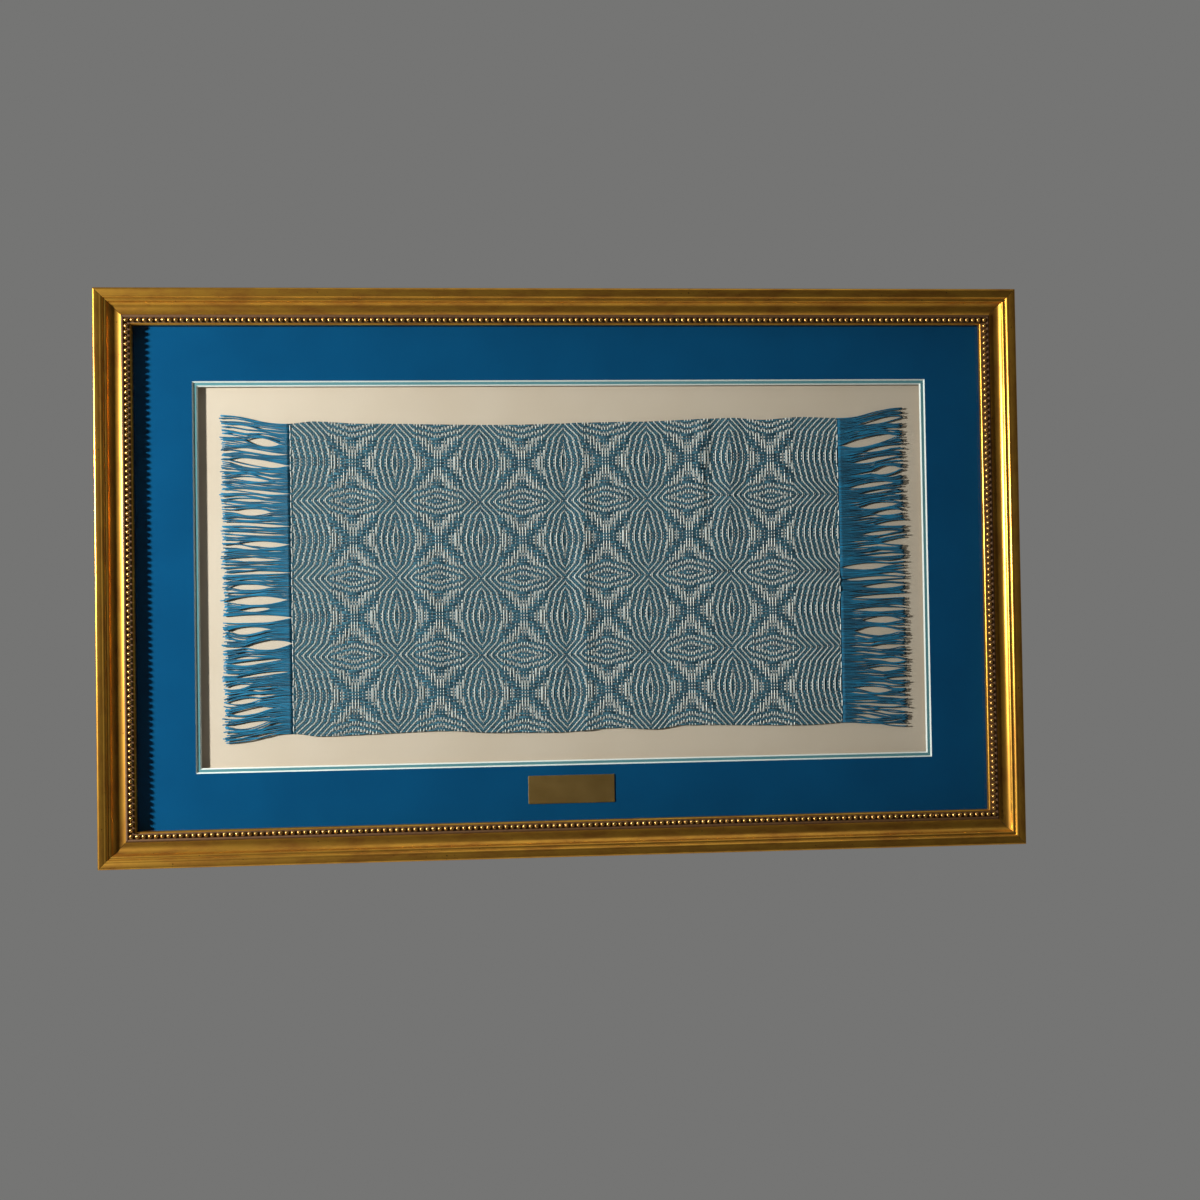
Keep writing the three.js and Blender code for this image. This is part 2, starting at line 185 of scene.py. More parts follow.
def edge_at(edge, x):
    """Height of an edge at x, eased from one of its points to the next."""
    step = np.clip(np.searchsorted(edge[:, 0], x, side="right"), 1, len(edge) - 1)
    low, high = edge[step - 1], edge[step]
    share = smooth((x - low[..., 0]) / (high[..., 0] - low[..., 0]))
    return low[..., 1] + (high[..., 1] - low[..., 1]) * share


def cloth_lift(x, z):
    """How far the back of the cloth stands off the backing."""
    top, bottom = edge_at(TOP_EDGE, x), edge_at(BOTTOM_EDGE, x)
    to_edge = np.minimum.reduce([x - CLOTH_LEFT, CLOTH_RIGHT - x, top - z, z - bottom])
    lift = EDGE_LIFT + (PANEL_LIFT - EDGE_LIFT) * smooth(to_edge / EDGE_FADE)
    for fold_x, fold_z, lean, across, along, height in FOLDS:
        cos, sin = math.cos(math.radians(lean)), math.sin(math.radians(lean))
        off_x, off_z = x - fold_x * MM, z - fold_z * MM
        over = (off_x * cos + off_z * sin) / (across * MM)
        down = (off_z * cos - off_x * sin) / (along * MM)
        lift = lift + height * MM * np.exp(-over ** 2 - down ** 2)
    return np.maximum(lift, 0)


def on_cloth(share_x, share_down, height):
    """Points on the cloth: shares of its width and of its height from the top, and height off its back."""
    x = CLOTH_LEFT + (CLOTH_RIGHT - CLOTH_LEFT) * share_x
    top, bottom = edge_at(TOP_EDGE, x), edge_at(BOTTOM_EDGE, x)
    z = top + (bottom - top) * share_down
    y = cloth_back - cloth_lift(x, z) - height
    return np.stack([x, y, z + middle_z], axis=-1)


def mesh_piece(name, points, faces, looks, smooth_faces=True):
    """A finished piece from arrays of points and of faces with equally many corners."""
    points = np.asarray(points, dtype=np.float32).reshape(-1, 3)
    faces = np.asarray(faces, dtype=np.int32)
    mesh = bpy.data.meshes.new(name)
    mesh.vertices.add(len(points))
    mesh.vertices.foreach_set("co", points.ravel())
    mesh.loops.add(faces.size)
    mesh.loops.foreach_set("vertex_index", faces.ravel())
    mesh.polygons.add(len(faces))
    mesh.polygons.foreach_set("loop_start", np.arange(len(faces), dtype=np.int32) * faces.shape[1])
    mesh.polygons.foreach_set("use_smooth", np.full(len(faces), smooth_faces))
    mesh.update(calc_edges=True)
    for look in looks:
        mesh.materials.append(look)
    piece = bpy.data.objects.new(name, mesh)
    bpy.context.scene.collection.objects.link(piece)
    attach(piece, "root")
    return piece


def cotton(name, colour, shade, tuft):
    # Spun cotton yarn: matt, a soft sheen at its edges, and a tone that varies yarn by yarn and along each.
    look, tree = start(name)
    place = add(tree, "ShaderNodeTexCoord").outputs["Object"]
    drawn_out = add(tree, "ShaderNodeMapping", {"Vector": place, "Scale": [1 / size for size in tuft]})
    uneven = add(tree, "ShaderNodeTexNoise", {
        "Vector": drawn_out.outputs["Vector"], "Scale": 1.0, "Detail": 4.0, "Roughness": 0.6})
    spread = add(tree, "ShaderNodeMapRange", {
        "Value": uneven.outputs["Fac"], "From Min": 0.3, "From Max": 0.7})
    tone = add(tree, "ShaderNodeMix", {
        0: spread.outputs["Result"], 6: linear(colour), 7: linear(shade)}, data_type="RGBA")
    shader = add(tree, "ShaderNodeBsdfPrincipled", {
        "Base Color": tone.outputs[2], "Roughness": 0.85, "Specular IOR Level": 0.25,
        "Sheen Weight": 0.15, "Sheen Roughness": 0.5})
    add(tree, "ShaderNodeOutputMaterial", {"Surface": shader.outputs["BSDF"]})
    return look


def ground_faces(columns, rows):
    """Quads of a closed sheet: the back's points come first, then the front's, row by row."""
    index = np.arange(2 * (columns + 1) * (rows + 1)).reshape(2, rows + 1, columns + 1)
    back, front = index
    sides = [
        (back[:-1, :-1], back[:-1, 1:], back[1:, 1:], back[1:, :-1]),
        (front[:-1, :-1], front[1:, :-1], front[1:, 1:], front[:-1, 1:]),
        (back[0, :-1], front[0, :-1], front[0, 1:], back[0, 1:]),
        (back[-1, :-1], back[-1, 1:], front[-1, 1:], front[-1, :-1]),
        (back[:-1, 0], back[1:, 0], front[1:, 0], front[:-1, 0]),
        (back[:-1, -1], front[:-1, -1], front[1:, -1], back[1:, -1]),
    ]
    return np.concatenate([np.stack(side, axis=-1).reshape(-1, 4) for side in sides])


down, along = np.meshgrid(
    np.linspace(0, 1, GROUND_ROWS + 1), np.linspace(0, 1, GROUND_COLUMNS + 1), indexing="ij")
ground_points = np.stack([on_cloth(along, down, 0), on_cloth(along, down, GROUND_THICKNESS)])
# The ground's material is painted shade: near black, for the shadow between the yarns.
cloth = mesh_piece(
    "cloth_ground", ground_points, ground_faces(GROUND_COLUMNS, GROUND_ROWS),
    [cotton("cotton ground painted as gap shade", GROUND_SHADOW_BLUE, GROUND_SHADOW_DARK, GROUND_TUFT)])
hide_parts("cloth")

# Weave: blue warp runs across the picture and white weft up it, on four shafts, in an undulating twill.
# Threading and treadling go straight by the stars, then in paired blocks to the crossings, and turn back.
BLOCKS = 4
BLOCK_ENDS = 4
STRAIGHT_ENDS = 10
STRAIGHT_PICKS = 14
REPEATS_DOWN = 4
CROSSINGS_ALONG = 6
LEFT_BORDER_PICKS = 13
RIGHT_BORDER_PICKS = 19
SHAFTS = 4
SHAFTS_LIFTED = 2
FLOAT_REACH = 0.3
FLOAT_SHOULDER = 0.22
CROWN_SHARE = 0.4
CROWN_LEAST = 0.85
CROWN_MOST = 1.1
TIP_SINK = 0.3
FOOT_SINK = 0.25
YARN_WANDER = 0.04
WEAVE_SEED = 7
HEM_STITCH = 5
WEFT_WHITE = "fcfcf8"
WEFT_SHADE = "eceeea"
WARP_BLUE = "438499"
WARP_SHADE = "164458"
WARP_TUFT = (9 * MM, 4 * MM, 1.3 * MM)
WEFT_TUFT = (1.3 * MM, 4 * MM, 9 * MM)

# Floats: half width and how far an end leans to the float beside it, as shares of a cell, the height,
# and the share by which an end rides over that float or, on its other side, slips under it.
WEFT_FLOAT = (0.27, 0.3, 0.55 * MM, 0.7)
WARP_FLOAT = (0.42, 0.12, 0.45 * MM, 0.0)


def half_repeat(straight):
    """Shafts from the middle of a star, one by one and then in paired blocks, to the middle of a crossing."""
    shafts = list(range(straight))
    for block in range(BLOCKS):
        shafts += [straight - 1 + block + i % 2 for i in range(BLOCK_ENDS)]
    return shafts


def floats(shows):
    """Each unbroken stretch along the second axis: its line, first cell and the cell past its last."""
    turns = np.diff(np.pad(shows, ((0, 0), (1, 1))).astype(int), axis=1)
    line, first = np.nonzero(turns == 1)
    past = np.nonzero(turns == -1)[1]
    return line, first, past


def float_points(shows, shape, draw):
    """Ten points a float, as across, along and height: a sunk tip, two rings of four, and a sunk tip."""
    half_width, lean, height, ride = shape
    line, first, past = floats(shows)
    count = len(line)
    beside = np.pad(shows, ((1, 1), (0, 0))).astype(int)
    cells = np.stack([first, past - 1], 1)
    aside = beside[line[:, None] + 2, cells] - beside[line[:, None], cells]
    rise = 1 + ride * np.where(aside == 0, 1 - 2 * (line[:, None] % 2), aside)
    middle = line[:, None] + 0.5 + draw.normal(0, YARN_WANDER, (count, 1)) + lean * aside
    shoulder = np.stack([first + FLOAT_SHOULDER, past - FLOAT_SHOULDER], 1)
    tip = np.stack([first - FLOAT_REACH, past + FLOAT_REACH], 1)
    crown = height * rise * draw.uniform(CROWN_LEAST, CROWN_MOST, (count, 1))
    points = np.zeros((count, 10, 3))
    for end, at_tip, ring in ((0, 0, slice(1, 5)), (1, 9, slice(5, 9))):
        points[:, at_tip] = np.stack([middle[:, end], tip[:, end], np.full(count, -TIP_SINK * height)], 1)
        half = half_width * (1 + rise[:, [end]]) / 2
        points[:, ring, 0] = middle[:, [end]] + half * np.array([-1, -CROWN_SHARE, CROWN_SHARE, 1])
        points[:, ring, 1] = shoulder[:, [end]]
        points[:, ring, 2] = crown[:, [end]] * np.array([-FOOT_SINK, 1, 1, -FOOT_SINK])
    return points


# Triangles of one float: four at each tip and eight round its middle.
FLOAT_FACES = np.array(
    [(0, 1 + (i + 1) % 4, 1 + i) for i in range(4)]
    + [(9, 5 + i, 5 + (i + 1) % 4) for i in range(4)]
    + [(1 + i, 1 + (i + 1) % 4, 5 + (i + 1) % 4) for i in range(4)]
    + [(1 + i, 5 + (i + 1) % 4, 5 + i) for i in range(4)])


def float_piece(name, points, look, flip):
    """One piece of many floats; points are shares of the cloth and height off its ground."""
    count = len(points)
    faces = (np.arange(count)[:, None, None] * 10 + FLOAT_FACES[None]).reshape(-1, 3)
    if flip:
        faces = faces[:, ::-1]
    placed = on_cloth(points[..., 0], points[..., 1], points[..., 2] + GROUND_THICKNESS)
    return mesh_piece(name, placed, faces, [look])


half_down = half_repeat(STRAIGHT_ENDS)
half_along = half_repeat(STRAIGHT_PICKS)
threading = (half_down + half_down[-2:0:-1]) * REPEATS_DOWN + half_down[:1]
treadling = list(range(-LEFT_BORDER_PICKS, 0)) + half_along
treadling += (half_along[-2:0:-1] + half_along) * (CROSSINGS_ALONG - 1)
treadling += half_along[-2::-1] + list(range(-1, -RIGHT_BORDER_PICKS - 1, -1))
ends, picks = len(threading), len(treadling)
lifted = (np.array(threading)[:, None] - np.array(treadling)[None, :]) % SHAFTS
warp_shows = lifted < SHAFTS_LIFTED
for hem in (0, -1):
    warp_shows[:, hem] = np.arange(ends) % HEM_STITCH == 0

draw = np.random.default_rng(WEAVE_SEED)
warp = float_points(warp_shows, WARP_FLOAT, draw)[..., [1, 0, 2]]
weft = float_points(~warp_shows.T, WEFT_FLOAT, draw)
warp_look = cotton("blue cotton warp", WARP_BLUE, WARP_SHADE, WARP_TUFT)
weft_look = cotton("white cotton weft", WEFT_WHITE, WEFT_SHADE, WEFT_TUFT)
for yarn, points, look, flip in (("warp", warp, warp_look, True), ("weft", weft, weft_look, False)):
    on_left = points[:, 0, 0] < picks / 2
    for side, chosen in (("left", on_left), ("right", ~on_left)):
        piece = float_piece(f"{yarn}_floats_{side}", points[chosen] / np.array([picks, ends, 1]), look, flip)

# Fringes: the cloth's own blue warp ends, cut about 60 mm past the weave and left loose on the backing.
# The yarns cling together in locks and part in long gaps, which are placed here one by one.
YARNS = 220
YARN_RADIUS = 0.6 * MM
YARN_SIDES = 5
YARN_STEPS = 20
ROOT_HEIGHT = 0.6 * MM
LOCK_LEAST = 1.3 * MM
LOCK_SWAY = 0.1
LOCK_MARGIN = 0.04
TIP_STRAY = 0.6 * MM
CUT_UNEVEN = 1.1 * MM
BOW_HEIGHT = 0.4 * MM
WAVES_LEAST = 0.5
WAVES_MOST = 1.2
GAP_FULLNESS = 0.8
TIP_CURL = 1.5
FRINGE_SEED = 11
FRINGE_BLUE = "1680a8"
FRINGE_SHADE = "083a52"
FRINGE_TUFT = (25 * MM, 4 * MM, 1.6 * MM)

# Gaps: share down the fringe, where along the yarn it opens and closes, half width in millimetres.
LEFT_GAPS = [
    (0.03, 0.45, 0.90, 1.2), (0.07, 0.15, 0.65, 3.1), (0.10, 0.04, 0.83, 1.4), (0.135, 0.04, 0.90, 3.0),
    (0.19, 0.30, 0.87, 2.0), (0.225, 0.05, 0.95, 1.0), (0.255, 0.38, 0.95, 1.7), (0.29, 0.30, 0.83, 2.6),
    (0.33, 0.05, 1.00, 1.3), (0.36, 0.05, 0.95, 1.2), (0.39, 0.04, 0.80, 2.4), (0.44, 0.15, 0.95, 1.6),
    (0.48, 0.05, 0.95, 1.6), (0.525, 0.34, 0.94, 2.8), (0.57, 0.08, 0.92, 3.8), (0.595, 0.30, 0.80, 2.3),
    (0.625, 0.02, 1.40, 4.2), (0.66, 0.38, 0.95, 3.5), (0.71, 0.00, 0.68, 4.2), (0.76, 0.15, 0.90, 1.6),
    (0.80, 0.05, 0.80, 1.6), (0.83, 0.62, 1.00, 2.4), (0.875, 0.50, 1.00, 3.0), (0.91, 0.38, 0.95, 2.8),
    (0.95, 0.35, 0.95, 2.4),
]
RIGHT_GAPS = [
    (0.03, 0.30, 1.20, 1.9), (0.09, 0.06, 0.90, 4.4), (0.12, 0.35, 0.85, 1.9), (0.15, 0.22, 0.90, 1.6),
    (0.19, 0.50, 0.95, 3.6), (0.23, 0.15, 0.85, 2.4), (0.255, 0.30, 0.85, 1.6), (0.30, 0.30, 0.90, 2.8),
    (0.325, 0.50, 1.00, 2.4), (0.36, 0.50, 1.25, 3.0), (0.385, 0.35, 0.95, 1.3), (0.42, 0.62, 1.50, 4.2),
    (0.46, 0.45, 1.00, 1.3), (0.49, 0.02, 0.72, 2.8), (0.53, 0.06, 0.96, 1.9), (0.555, 0.30, 0.96, 2.2),
    (0.59, 0.15, 1.05, 1.9), (0.63, 0.18, 1.00, 2.2), (0.665, 0.30, 0.92, 2.8), (0.70, 0.22, 0.88, 3.8),
    (0.75, 0.46, 0.92, 2.4), (0.79, 0.62, 0.94, 1.6), (0.82, 0.38, 0.92, 2.2), (0.85, 0.66, 1.10, 1.9),
    (0.885, 0.18, 0.76, 2.2), (0.935, 0.20, 0.90, 1.3),
]

# Each fringe: its edge of the cloth, the way out, its length, the heights of its top and bottom tips, how far
# the tips stand off the backing, and its gaps.
FRINGES = (
    ("fringe_left", CLOTH_LEFT, -1, 59 * MM, 143 * MM, -147 * MM, 0.6 * MM, LEFT_GAPS),
    ("fringe_right", CLOTH_RIGHT, 1, 59.5 * MM, 147 * MM, -145 * MM, 0.5 * MM, RIGHT_GAPS),
)


def yarn_paths(edge_x, out, length, tip_top, tip_bottom, tip_height, gaps, draw):
    """Points along every yarn of one fringe, root to tip; yarns between two gaps keep together as a lock."""
    t = np.linspace(0, 1, YARN_STEPS + 1)[None, :]
    root_top, root_bottom = edge_at(TOP_EDGE, np.array(edge_x)), edge_at(BOTTOM_EDGE, np.array(edge_x))

    def fanned(share):
        root = root_top + (root_bottom - root_top) * share
        tip = tip_top + (tip_bottom - tip_top) * share
        return root + (tip - root) * smooth(t)

    at, opens, closes, half = np.array([(0, 0, 1, 0)] + gaps + [(1, 0, 1, 0)]).T[:, :, None]
    opening = half * MM * np.sin(np.pi * np.clip((t - opens) / (closes - opens), 0, 1)) ** GAP_FULLNESS
    share = (np.arange(YARNS) + 0.5) / YARNS
    lock = np.searchsorted(at[:, 0], share) - 1
    upper = fanned(at[lock]) - opening[lock]
    lower = fanned(at[lock + 1]) + opening[lock + 1]
    thin = np.maximum(LOCK_LEAST - (upper - lower), 0) / 2
    phase = draw.uniform(0, 2 * np.pi, (YARNS, 3))
    pace = draw.uniform(WAVES_LEAST, WAVES_MOST, (YARNS, 1))
    within = (share[:, None] - at[lock]) / (at[lock + 1] - at[lock])
    within = within + LOCK_SWAY * np.sin(2 * np.pi * pace * t + phase[:, :1]) * smooth(2 * t)
    within = np.clip(within, LOCK_MARGIN, 1 - LOCK_MARGIN)
    z = upper + thin + (lower - upper - 2 * thin) * within
    stray = draw.normal(0, TIP_STRAY, (YARNS, 1)) * t ** 2
    reach = length + draw.normal(0, CUT_UNEVEN, (YARNS, 1))
    x = edge_x + out * reach * t
    bow = BOW_HEIGHT * (1 + np.sin(2 * np.pi * pace * t + phase[:, 1:2])) * smooth(2 * t)
    height = YARN_RADIUS + ROOT_HEIGHT * (1 - t) + tip_height * t ** TIP_CURL + bow
    y = cloth_back - height
    return np.stack([np.broadcast_to(x, z.shape), y, z + stray + middle_z], axis=-1)


def yarn_tubes(paths, radius):
    """Closed tubes round the paths, with a point in the middle of each end."""
    count, stations = paths.shape[:2]
    ahead = np.gradient(paths, axis=1)
    ahead /= np.linalg.norm(ahead, axis=-1, keepdims=True)
    side = np.cross(ahead, np.array([0.0, -1.0, 0.0]))
    side /= np.linalg.norm(side, axis=-1, keepdims=True)
    front = np.cross(side, ahead)
    turn = np.arange(YARN_SIDES) * 2 * np.pi / YARN_SIDES
    ring = (side[:, :, None] * np.cos(turn)[:, None] + front[:, :, None] * np.sin(turn)[:, None]) * radius
    rings = paths[:, :, None] + ring
    points = np.concatenate([rings.reshape(count, -1, 3), paths[:, [0, -1]]], axis=1)
    faces = []
    last = (stations - 1) * YARN_SIDES
    for i in range(YARN_SIDES):
        j = (i + 1) % YARN_SIDES
        for station in range(stations - 1):
            low, high = station * YARN_SIDES, (station + 1) * YARN_SIDES
            faces += [(low + i, high + i, high + j), (low + i, high + j, low + j)]
        faces += [(last + YARN_SIDES, i, j), (last + YARN_SIDES + 1, last + j, last + i)]
    each = points.shape[1]
    return points, (np.arange(count)[:, None, None] * each + np.array(faces)[None]).reshape(-1, 3)


fringe_cotton = cotton("loose blue cotton", FRINGE_BLUE, FRINGE_SHADE, FRINGE_TUFT)
draw = np.random.default_rng(FRINGE_SEED)
for name, *fringe in FRINGES:
    points, faces = yarn_tubes(yarn_paths(*fringe, draw), YARN_RADIUS)
    piece = mesh_piece(f"{name}_yarns", points, faces, [fringe_cotton])
    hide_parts(name)

# Spacers: four strips of white foam board behind the mats, which hold them off the cloth.
# They stand back from the window, so only the depth that they give shows.
FOAM_WHITE = "efeade"
FOAM_SHADE = "e2dccd"

foam_board = board_paper("foam board", FOAM_WHITE, FOAM_SHADE)
for side in ("top", "bottom", "left", "right"):
    dress(f"spacer_{side}", foam_board)

# Mats: two sheets of mat board with a window cut at a bevel that shows the white core.
# The top one is deep blue, the under one light teal and seen only as a narrow line inside it.
MAT_THICKNESS = 1.1 * MM
TOP_WINDOW_HALF = (329.4 * MM, 172.7 * MM)
REVEAL = 3.45 * MM
MAT_BLUE = "064f7a"
MAT_BLUE_SHADE = "034269"
MAT_TEAL = "64949a"
MAT_TEAL_SHADE = "5a888f"
CORE_WHITE = "eef0ec"
CORE_SHADE = "e2e4de"

core = board_paper("white mat core", CORE_WHITE, CORE_SHADE)


def mat_piece(name, node, half_window, face):
    """A board with a bevelled window: paper on its face, white core on the bevel, the edges and the back."""
    low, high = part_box(node)
    outer = (high.x, (high.z - low.z) / 2)
    inner_back = (half_window[0] - MAT_THICKNESS, half_window[1] - MAT_THICKNESS)
    loops = [(outer, low.y), (half_window, low.y), (inner_back, high.y), (outer, high.y)]
    corners = [(-1, -1), (1, -1), (1, 1), (-1, 1)]
    points = [(half[0] * a, y, half[1] * b + middle_z) for half, y in loops for a, b in corners]
    faces = []
    for loop in range(4):
        after = (loop + 1) % 4
        for i in range(4):
            j = (i + 1) % 4
            faces.append((loop * 4 + i, loop * 4 + j, after * 4 + j, after * 4 + i))
    piece = mesh_piece(name, points, faces, [face, core], smooth_faces=False)
    piece.data.polygons.foreach_set("material_index", [0] * 4 + [1] * 12)
    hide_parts(node)
    return piece


mat_top = mat_piece(
    "mat_top_board", "mat_top", TOP_WINDOW_HALF, board_paper("blue mat paper", MAT_BLUE, MAT_BLUE_SHADE))
mat_under = mat_piece(
    "mat_under_board", "mat_under", (TOP_WINDOW_HALF[0] - REVEAL, TOP_WINDOW_HALF[1] - REVEAL),
    board_paper("teal mat paper", MAT_TEAL, MAT_TEAL_SHADE))

# Plate: a thin bare brass plate that sits on the lower mat under the glass.
# It is cut square with a small chamfer and brushed along its length to a satin face.
PLATE_CHAMFER = 0.2 * MM
BRASS = "c6a060"
BRASS_SHADE = "a07c40"
BRUSH_LENGTH = 30 * MM
BRUSH_WIDTH = 0.4 * MM
BRASS_AGE = 18 * MM


def satin_brass():
    # Brushed brass: long fine scratches that spread the highlight, slightly browned with age.
    look, tree = start("satin brass")
    place = add(tree, "ShaderNodeTexCoord").outputs["Object"]
    drawn_out = add(tree, "ShaderNodeMapping", {
        "Vector": place, "Scale": (1 / BRUSH_LENGTH, 1 / BRUSH_WIDTH, 1 / BRUSH_WIDTH)})
    brush = add(tree, "ShaderNodeTexNoise", {
        "Vector": drawn_out.outputs["Vector"], "Scale": 1.0, "Detail": 3.0})
    age = add(tree, "ShaderNodeTexNoise", {"Vector": place, "Scale": 1 / BRASS_AGE, "Detail": 3.0})
    tone = add(tree, "ShaderNodeMix", {
        0: age.outputs["Fac"], 6: linear(BRASS), 7: linear(BRASS_SHADE)}, data_type="RGBA")
    polish = add(tree, "ShaderNodeMapRange", {"Value": brush.outputs["Fac"], "To Min": 0.4, "To Max": 0.58})
    scratch = add(tree, "ShaderNodeBump", {
        "Height": brush.outputs["Fac"], "Strength": 0.2, "Distance": 0.05 * MM})
    shader = add(tree, "ShaderNodeBsdfPrincipled", {
        "Base Color": tone.outputs[2], "Metallic": 1.0, "Roughness": polish.outputs["Result"],
        "Normal": scratch.outputs["Normal"]})
    add(tree, "ShaderNodeOutputMaterial", {"Surface": shader.outputs["BSDF"]})
    return look


low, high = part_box("plate")
inset = PLATE_CHAMFER
plate_loops = [
    (low.x + inset, high.x - inset, low.z + inset, high.z - inset, low.y),
    (low.x, high.x, low.z, high.z, low.y + inset),
    (low.x, high.x, low.z, high.z, high.y)]
plate_points = []
for x0, x1, z0, z1, y in plate_loops:
    plate_points += [(x0, y, z0), (x1, y, z0), (x1, y, z1), (x0, y, z1)]
plate_faces = [(0, 1, 2, 3), (11, 10, 9, 8)]
for loop in (0, 4):
    for i in range(4):
        j = (i + 1) % 4
        plate_faces.append((loop + i, loop + 4 + i, loop + 4 + j, loop + j))
plate = mesh_piece("brass_plate", plate_points, plate_faces, [satin_brass()], smooth_faces=False)
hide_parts("plate")

# Glass: one sheet of clear float glass held between the frame's lip and the mats.
# Its two faces mirror the room faintly, and more strongly towards a glancing view.
GLASS_FACE_ON = 0.04
GLASS_TINT = "fbfdfc"


def clear_glass():
    # Float glass: see-through, with a mirror gloss that grows with the fifth power of the slant.
    look, tree = start("clear float glass")
    gloss = add(tree, "ShaderNodeBsdfGlossy", {"Color": (1, 1, 1, 1), "Roughness": 0.02})
    through = add(tree, "ShaderNodeBsdfTransparent", {"Color": linear(GLASS_TINT)})
    slant = add(tree, "ShaderNodeLayerWeight", {"Blend": 0.5})
    glance = add(tree, "ShaderNodeMath", {0: slant.outputs["Facing"], 1: 5.0}, operation="POWER")
    mirror = add(tree, "ShaderNodeMapRange", {"Value": glance.outputs["Value"], "To Min": GLASS_FACE_ON})
    sheet = add(tree, "ShaderNodeMixShader", {
        0: mirror.outputs["Result"], 1: through.outputs["BSDF"], 2: gloss.outputs["BSDF"]})
    add(tree, "ShaderNodeOutputMaterial", {"Surface": sheet.outputs["Shader"]})
    return look


dress("glass", clear_glass())

# Rails: four lengths of wood moulding, mitred and joined at the corners, gilded on the face over brown bole.
# Outwards from the sight edge: lip, bead channel, fillet, cove, two ridges, sloping band and rounded rim.
# The fillet and bead channel get the dark bole finish, which is painted shade between and under the beads.
FACE, BED_PAINTED_SHADE, WOOD = 0, 1, 2
SEAT_GAP = 0.3 * MM
MITRE_GAP = 0.21 * MM
CURVE_STEPS = 10
SHARP_EDGE = math.radians(32)
GOLD = "d09a3a"
GOLD_WORN = "a46c2c"
BOLE = "3b2210"
BOLE_DUST = "6b4a22"
RAW_WOOD = "a98758"
RAW_WOOD_SHADE = "8f6d43"
RUB_LENGTH = 34 * MM
RUB_WIDTH = 11 * MM
SPECK_SIZE = 2.2 * MM
DUST_SIZE = 2 * MM
GRAIN_LENGTH = 120 * MM
GRAIN_WIDTH = 1.6 * MM
RABBET_WIDTH = 6
CHANNEL_FROM = 1.5
CHANNEL_TO = 6.1

lip_back = (SEAT_GAP - glass_low.y) / MM
sight_x = glass_high.x + SEAT_GAP - RABBET_WIDTH * MM
sight_z = (glass_high.z - glass_low.z) / 2 + SEAT_GAP - RABBET_WIDTH * MM

# Moulding over the back and the face to the rabbet, in millimetres: stretch, where it ends out from the sight
# edge and off the wall, the point that a curved stretch bends by, and finish.
MOULDING = (
    ("back", 31, 0, None, WOOD),
    ("outer side", 31, 27.6, None, FACE),
    ("rounded rim", 28.9, 29.8, (31, 29.8), FACE),
    ("sloping band", 25.4, 28.3, None, FACE),
    ("outer ridge", 22.4, 26.6, (23.4, 28.5), FACE),
    ("groove", 21.8, 26.3, None, FACE),
    ("inner ridge", 19.4, 24.9, (20.2, 26.6), FACE),
    ("cove", 8.5, 22.3, (15.8, 20), FACE),
    ("step", 8.5, 23.1, None, FACE),
    ("fillet", CHANNEL_TO, 23.1, (7.3, 24.3), BED_PAINTED_SHADE),
    ("channel wall", CHANNEL_TO, 21.3, None, BED_PAINTED_SHADE),
    ("channel floor", CHANNEL_FROM, 21.3, None, BED_PAINTED_SHADE),
    ("rounded lip", 0, 19.6, (0.2, 21.1), FACE),
    ("sight edge", 0, lip_back, None, FACE),
    ("back of the lip", RABBET_WIDTH, lip_back, None, WOOD),
    ("rabbet side", RABBET_WIDTH, 0, None, WOOD),
)


def gilding():
    # Aged gilding: warm metal, brighter where it is rubbed, with brown bole in streaks along the rail.
    look, tree = start("aged gilding")
    run = add(tree, "ShaderNodeUVMap", uv_map="along_rail").outputs["UV"]
    drawn_out = add(tree, "ShaderNodeMapping", {"Vector": run, "Scale": (1 / RUB_LENGTH, 1 / RUB_WIDTH, 1)})
    rub = add(tree, "ShaderNodeTexNoise", {
        "Vector": drawn_out.outputs["Vector"], "Scale": 1.0, "Detail": 6.0, "Roughness": 0.65})
    speck = add(tree, "ShaderNodeTexNoise", {"Vector": run, "Scale": 1 / SPECK_SIZE, "Detail": 2.0})
    worn = add(tree, "ShaderNodeMapRange", {"Value": rub.outputs["Fac"], "From Min": 0.42, "From Max": 0.72})
    gold = add(tree, "ShaderNodeMix", {
        0: worn.outputs["Result"], 6: linear(GOLD), 7: linear(GOLD_WORN)}, data_type="RGBA")
    spots = add(tree, "ShaderNodeMapRange", {
        "Value": speck.outputs["Fac"], "From Min": 0.7, "From Max": 0.76})
    tone = add(tree, "ShaderNodeMix", {
        0: spots.outputs["Result"], 6: gold.outputs[2], 7: linear(BOLE)}, data_type="RGBA")
    polish = add(tree, "ShaderNodeMapRange", {"Value": rub.outputs["Fac"], "To Min": 0.26, "To Max": 0.36})
    leaf = add(tree, "ShaderNodeBump", {"Height": rub.outputs["Fac"], "Strength": 0.08, "Distance": 0.3 * MM})
    shader = add(tree, "ShaderNodeBsdfPrincipled", {
        "Base Color": tone.outputs[2], "Metallic": 0.9, "Roughness": polish.outputs["Result"],
        "Normal": leaf.outputs["Normal"]})
    add(tree, "ShaderNodeOutputMaterial", {"Surface": shader.outputs["BSDF"]})
    return look


def bole_with_painted_channel_shade():
    # Bole in the bead channel: dark reddish clay with a little gold dust, dull, and dark as painted shade for
    # the channel between and under the beads.
    look, tree = start("brown bole")
    place = add(tree, "ShaderNodeTexCoord").outputs["Object"]
    dust = add(tree, "ShaderNodeTexNoise", {"Vector": place, "Scale": 1 / DUST_SIZE, "Detail": 4.0})
    tone = add(tree, "ShaderNodeMix", {
        0: dust.outputs["Fac"], 6: linear(BOLE), 7: linear(BOLE_DUST)}, data_type="RGBA")
    shader = add(tree, "ShaderNodeBsdfPrincipled", {
        "Base Color": tone.outputs[2], "Metallic": 0.3, "Roughness": 0.7})
    add(tree, "ShaderNodeOutputMaterial", {"Surface": shader.outputs["BSDF"]})
    return look


